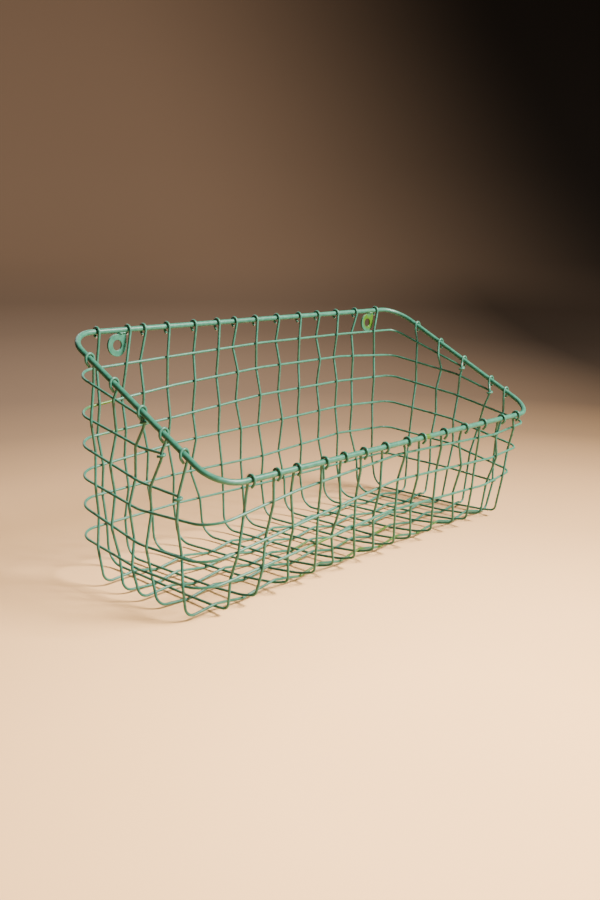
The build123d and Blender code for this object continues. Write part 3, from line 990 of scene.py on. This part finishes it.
def near_spots(nodes, links, place):
    """1 in the middle of each olive patch, falling to 0 at its reach."""
    nearest = None
    for x_share, y_share, z_share, reach_share in olive_patch_shares:
        middle = Vector((x_share * half_length, y_share * half_depth, z_share * back_height)) * MM
        reach = reach_share * back_height * MM
        distance = measured(nodes, links, "DISTANCE", place, middle)
        near = eased(nodes, links, distance, reach, reach / 2)
        nearest = combined(nodes, links, "MAXIMUM", nearest, near) if nearest else near
    return nearest


def powder_coat(name, olive_patched):
    """Semi-gloss green powder coat: mottled, with an orange peel and, on some pieces, olive patches."""
    material, nodes, links, shader = new_material(name)
    place = nodes.new("ShaderNodeTexCoord").outputs["Object"]
    mottle = noise_at(nodes, links, place, coat_mottle_scale)
    tone = two_tones(nodes, links, mottle, coat_mottle_shares, coat_dark, coat_light)
    # Olive patches at listed places, broken up by noise
    if olive_patched:
        patches = noise_at(nodes, links, place, coat_patch_scale, patch_detail)
        patches = two_tones(nodes, links, patches, coat_patch_shares, black, white)
        olive_patch = combined(nodes, links, "MULTIPLY", patches, near_spots(nodes, links, place))
        tone = mix(nodes, links, olive_patch, tone, coat_olive)
    links.new(tone, shader.inputs["Base Color"])
    gloss = noise_at(nodes, links, place, coat_gloss_scale, fine_detail)
    spread = nodes.new("ShaderNodeMapRange")
    spread.inputs["To Min"].default_value = coat_least_roughness
    spread.inputs["To Max"].default_value = coat_most_roughness
    links.new(gloss, spread.inputs["Value"])
    links.new(spread.outputs["Result"], shader.inputs["Roughness"])
    peel = noise_at(nodes, links, place, coat_peel_scale, fine_detail)
    bump = nodes.new("ShaderNodeBump")
    bump.inputs["Strength"].default_value = coat_peel_strength
    bump.inputs["Distance"].default_value = coat_peel_depth * MM
    links.new(peel, bump.inputs["Height"])
    links.new(bump.outputs["Normal"], shader.inputs["Normal"])
    shader.inputs["Specular IOR Level"].default_value = coat_specular
    return material


def bare_steel():
    """The grey, slightly mottled steel that shows where a wire was cut off."""
    material, nodes, links, shader = new_material("cut_wire_end")
    place = nodes.new("ShaderNodeTexCoord").outputs["Object"]
    grain = noise_at(nodes, links, place, cut_grain_scale)
    tone = two_tones(nodes, links, grain, cut_grain_shares, cut_dark, cut_light)
    links.new(tone, shader.inputs["Base Color"])
    shader.inputs["Roughness"].default_value = cut_roughness
    shader.inputs["Metallic"].default_value = cut_metallic
    return material


def backdrop_paper():
    """Matt pale paper with a very faint mottle and a painted pool of light. Far out it darkens to a
    brown wall, with painted shade that is deeper to one side.
    """
    material, nodes, links, shader = new_material("backdrop_paper")
    place = nodes.new("ShaderNodeTexCoord").outputs["Object"]
    mottle = noise_at(nodes, links, place, paper_mottle_scale)
    tone = two_tones(nodes, links, mottle, paper_mottle_shares, paper_dark, paper_light)

    # Painted pool of light: the floor darkens with its distance from the pool's place
    distance = measured(nodes, links, "DISTANCE", place, painted_light_pool_place)
    share = nodes.new("ShaderNodeMath")
    share.operation = "DIVIDE"
    share.inputs[1].default_value = painted_falloff_reach
    links.new(distance, share.inputs[0])
    stops = [(position, (darkness, darkness, darkness)) for position, darkness in painted_falloff_shares]
    painted_falloff = ramp(nodes, links, share.outputs["Value"], stops)

    # Painted shade, deeper to one side and higher up, on the far floor and the wall
    shade = eased(nodes, links, measured(nodes, links, "DOT_PRODUCT", place, painted_shade_way),
                  painted_shade_start, painted_shade_end)
    far = two_tones(nodes, links, shade, far_painted_shade_shares, far_floor_painted_lit, far_floor_painted_shade)
    wall = ramp(nodes, links, shade, [(0, wall_painted_lit), (1, wall_painted_shade)])
    floor = mix(nodes, links, painted_falloff, tone, far)

    parts = nodes.new("ShaderNodeSeparateXYZ")
    links.new(place, parts.inputs[0])
    height = eased(nodes, links, parts.outputs["Z"], wall_foot, wall_full)
    links.new(mix(nodes, links, height, floor, wall), shader.inputs["Base Color"])
    shader.inputs["Roughness"].default_value = paper_roughness
    shader.inputs["Specular IOR Level"].default_value = paper_specular
    return material


def studio():
    """A pale floor that curves up into a round wall, a soft key light and two faint fills."""
    vertices = []
    for radius_share, height_share in sheet_shares:
        radius = radius_share * sheet_radius
        for step in range(sheet_sides):
            angle = 2 * pi * step / sheet_sides
            vertices.append((radius * cos(angle), radius * sin(angle), height_share * sheet_height))
    vertices.append((0, 0, 0))
    middle = len(vertices) - 1
    faces = [(middle, step, (step + 1) % sheet_sides) for step in range(sheet_sides)]
    for ring in range(len(sheet_shares) - 1):
        for step in range(sheet_sides):
            near = ring * sheet_sides + step
            far = ring * sheet_sides + (step + 1) % sheet_sides
            faces.append((near, near + sheet_sides, far + sheet_sides, far))
    mesh = bpy.data.meshes.new("floor_sheet")
    mesh.from_pydata(vertices, [], faces)
    mesh.materials.append(backdrop_paper())
    for face in mesh.polygons:
        face.use_smooth = True
    sheet = bpy.data.objects.new("floor_sheet", mesh)
    bpy.context.scene.collection.objects.link(sheet)

    world = bpy.data.worlds.new("soft_room")
    bpy.context.scene.world = world
    world.use_nodes = True
    background = world.node_tree.nodes["Background"]
    background.inputs["Color"].default_value = (*room_colour, 1)
    background.inputs["Strength"].default_value = room_strength

    area_light("key_light", key_place, key_size, key_power, key_colour)
    area_light("fill_light", fill_place, fill_size, fill_power, fill_colour)
    area_light("rear_light", rear_place, rear_size, rear_power, fill_colour)


def area_light(name, place, size, power, colour):
    """A square soft light that faces the basket."""
    light = bpy.data.lights.new(name, "AREA")
    light.size = size
    light.energy = power
    light.color = colour
    lamp = bpy.data.objects.new(name, light)
    lamp.location = place
    aim = Vector((0, 0, back_height / 2 * MM))
    lamp.rotation_euler = (aim - lamp.location).to_track_quat("-Z", "Y").to_euler()
    bpy.context.scene.collection.objects.link(lamp)


def place_camera():
    """The camera at the photograph's viewpoint, as its place and angles were worked out."""
    azimuth = radians(camera_azimuth)
    elevation = radians(camera_elevation)
    roll = radians(camera_roll)
    forward = Vector((-sin(azimuth) * cos(elevation), cos(azimuth) * cos(elevation), -sin(elevation)))
    right = forward.cross(Vector((0, 0, 1))).normalized()
    up = right.cross(forward)
    right, up = right * cos(roll) + up * sin(roll), up * cos(roll) - right * sin(roll)
    camera = bpy.data.objects.new("camera", bpy.data.cameras.new("camera"))
    camera.data.sensor_width = camera_sensor
    camera.data.lens = camera_lens
    camera.data.clip_start = camera_near * MM
    turned = Matrix((right, up, -forward)).transposed().to_4x4()
    camera.matrix_world = Matrix.Translation(Vector(camera_place) * MM) @ turned
    bpy.context.scene.collection.objects.link(camera)
    bpy.context.scene.camera = camera


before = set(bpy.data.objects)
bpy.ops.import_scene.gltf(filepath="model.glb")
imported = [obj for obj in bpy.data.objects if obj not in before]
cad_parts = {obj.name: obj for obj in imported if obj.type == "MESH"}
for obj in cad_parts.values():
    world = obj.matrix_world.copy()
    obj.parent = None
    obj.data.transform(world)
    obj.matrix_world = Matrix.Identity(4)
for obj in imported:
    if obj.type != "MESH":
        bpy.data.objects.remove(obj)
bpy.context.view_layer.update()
coat = powder_coat("green_powder_coat", True)
unpatched_coat = powder_coat("unpatched_green_powder_coat", False)
cut_end = bare_steel()
rim()
hanging_eyelet("left_hanging_eyelet", eyelet_inset - half_length)
hanging_eyelet("right_hanging_eyelet", half_length - eyelet_inset)
mesh_wire("upper_hoop_wire", hoop_wire(upper_hoop, upper_row, upper_row), coat)
mesh_wire("second_hoop_wire", hoop_wire(second_hoop, second_row, second_row), coat)
mesh_wire("spiral_hoop_wire", hoop_wire(spiral_hoop, first_spiral_row, last_spiral_row), coat)
for wire_number in range(1, len(floor_shares) + 1):
    mesh_wire("cross_wire_%02d" % wire_number, cross_wire(wire_number), unpatched_coat)
for wire_number in range(1, len(left_rim_shares) + 1):
    mesh_wire("long_wire_%d" % wire_number, long_wire(wire_number), coat)
studio()
place_camera()
